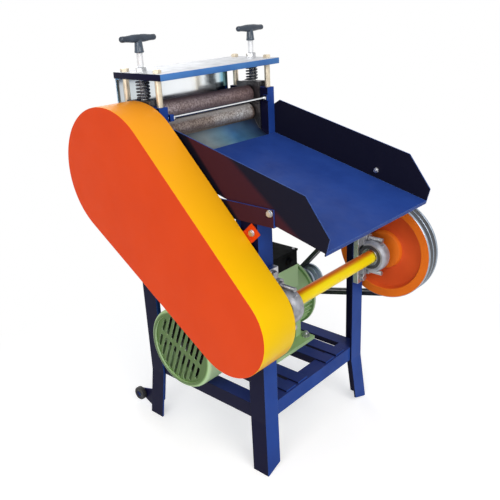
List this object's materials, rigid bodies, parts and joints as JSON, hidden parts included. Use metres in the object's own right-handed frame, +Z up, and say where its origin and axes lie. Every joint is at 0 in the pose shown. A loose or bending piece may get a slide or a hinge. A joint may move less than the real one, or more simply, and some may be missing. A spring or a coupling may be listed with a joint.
{
  "type": "motor-driven cable stripping machine",
  "caption": "Floor-standing cable stripper: a motor, belts and a guarded chain turn two feed rollers under screw pressure, fed from a sloping tray.",
  "frame": {"origin": "middle of the whole footprint, on the floor under the feet", "axes": "+X along the feed rollers towards the belt pulley, +Y from the feed tray to the back, +Z up"},
  "size_m": [0.6384, 0.7296, 1.0885],
  "materials": {
    "blue_paint": "gloss paint",
    "ground_steel": "ground",
    "bright_sheet": "satin",
    "fastener_steel": "zinc plated",
    "yellow_zinc": "yellow zinc",
    "bearing_block_steel": "machined",
    "bush_bronze": "machined",
    "rod_steel": "polished",
    "guard_paint": "gloss paint",
    "chain_steel": "oiled",
    "shaft_steel": "turned",
    "upper_roller_steel": "knurled, browned",
    "lower_roller_steel": "knurled",
    "handle_plastic": "moulded",
    "spring_steel": "black",
    "plate_steel": "plated",
    "bearing_iron": "grey paint",
    "ring_steel": "ground",
    "orange_paint": "gloss paint",
    "pulley_iron": "painted",
    "small_pulley_iron": "turned",
    "belt_rubber": "matte",
    "motor_iron": "green paint",
    "cowl_sheet": "green paint",
    "fan_plastic": "moulded",
    "box_plastic": "moulded",
    "wheel_rubber": "matte"
  },
  "bodies": {
    "frame": {"front_left_leg": "blue_paint", "front_right_leg": "blue_paint", "back_left_leg": "blue_paint", "back_right_leg": "blue_paint", "shelf_front_rail": "blue_paint", "shelf_back_rail": "blue_paint", "shelf_left_rail": "blue_paint", "shelf_right_rail": "blue_paint", "shelf_slats": "blue_paint", "left_table_rail": "blue_paint", "right_table_rail": "blue_paint", "left_cheek": "blue_paint", "right_cheek": "blue_paint", "top_plate": "ground_steel", "tie_bolts": "fastener_steel", "tie_spacers": "yellow_zinc", "screw_nuts": "fastener_steel", "back_panel": "bright_sheet", "lower_bearing_blocks": "bearing_block_steel", "drive_shaft_bushes": "bush_bronze", "guide_rod": "rod_steel", "apron": "blue_paint", "feed_tray": "blue_paint", "frame_bolts": "fastener_steel", "chain_guard": "guard_paint", "drive_chain": "chain_steel", "mount_plates": "plate_steel", "pillow_blocks": "bearing_iron", "bearing_bolts": "fastener_steel", "v_belts": "belt_rubber", "motor_housing": "motor_iron", "motor_end_bell": "motor_iron", "motor_fan_cowl": "cowl_sheet", "terminal_box": "box_plastic", "terminal_box_lid": "box_plastic", "motor_bolts": "fastener_steel", "wheel_brackets": "blue_paint"},
    "jackshaft_set": {"jackshaft": "orange_paint", "big_pulley": "pulley_iron", "small_sprocket": "chain_steel", "bearing_inner_rings": "ring_steel"},
    "drive_shaft_set": {"drive_shaft": "shaft_steel", "large_sprocket": "chain_steel", "drive_gear": "chain_steel"},
    "lower_roller_set": {"lower_roller": "lower_roller_steel", "lower_roller_gear": "chain_steel"},
    "carriage": {"upper_bearing_blocks": "bearing_block_steel", "pressure_springs": "spring_steel"},
    "upper_roller_set": {"upper_roller": "upper_roller_steel", "upper_roller_gear": "chain_steel"},
    "left_screw_set": {"left_screw": "shaft_steel", "left_t_handle": "handle_plastic"},
    "right_screw_set": {"right_screw": "shaft_steel", "right_t_handle": "handle_plastic"},
    "motor_rotor": {"rotor_shaft": "shaft_steel", "motor_pulley": "small_pulley_iron", "cooling_fan": "fan_plastic"},
    "left_wheel": {"left_wheel": "wheel_rubber"},
    "right_wheel": {"right_wheel": "wheel_rubber"}
  },
  "joints": [
    {"name": "jackshaft_spin", "type": "hinge", "parent": "frame", "child": "jackshaft_set", "pos_m": [0.01525, -0.21172, 0.487], "axis": [1, 0, 0], "continuous": true, "deforming": ["drive_chain"]},
    {"name": "motor_spin", "type": "hinge", "parent": "frame", "child": "motor_rotor", "pos_m": [0.01525, 0.06928, 0.316], "axis": [1, 0, 0], "continuous": true},
    {"name": "drive_shaft_spin", "type": "hinge", "parent": "frame", "child": "drive_shaft_set", "pos_m": [0.01525, 0.20428, 0.7695], "axis": [1, 0, 0], "continuous": true},
    {"name": "lower_roller_spin", "type": "hinge", "parent": "frame", "child": "lower_roller_set", "pos_m": [0.01525, 0.20428, 0.849], "axis": [1, 0, 0], "continuous": true},
    {"name": "upper_carriage", "type": "slide", "parent": "frame", "child": "carriage", "axis": [0, 0, 1], "range_m": [0, 0.005], "deforming": ["pressure_springs"]},
    {"name": "upper_roller_spin", "type": "hinge", "parent": "carriage", "child": "upper_roller_set", "pos_m": [0.01525, 0.20428, 0.9], "axis": [1, 0, 0], "continuous": true},
    {"name": "left_screw_turn", "type": "hinge", "parent": "carriage", "child": "left_screw_set", "pos_m": [-0.18575, 0.20428, 1], "axis": [0, 0, 1], "range_deg": [0, 900]},
    {"name": "right_screw_turn", "type": "hinge", "parent": "carriage", "child": "right_screw_set", "pos_m": [0.21625, 0.20428, 1], "axis": [0, 0, 1], "range_deg": [0, 900]},
    {"name": "left_wheel_spin", "type": "hinge", "parent": "frame", "child": "left_wheel", "pos_m": [-0.20775, 0.33928, 0.042], "axis": [1, 0, 0], "continuous": true},
    {"name": "right_wheel_spin", "type": "hinge", "parent": "frame", "child": "right_wheel", "pos_m": [0.25025, 0.33928, 0.042], "axis": [1, 0, 0], "continuous": true}
  ],
  "couplings": [
    {"joint": "motor_spin", "follows": "jackshaft_spin", "ratio": 3.425},
    {"joint": "drive_shaft_spin", "follows": "jackshaft_spin", "ratio": 0.24444},
    {"joint": "lower_roller_spin", "follows": "jackshaft_spin", "ratio": -0.51765},
    {"joint": "upper_roller_spin", "follows": "jackshaft_spin", "ratio": 0.51765},
    {"joint": "left_screw_turn", "follows": "upper_carriage", "rad_per_m": 3141.6},
    {"joint": "right_screw_turn", "follows": "upper_carriage", "rad_per_m": 3141.6}
  ]
}
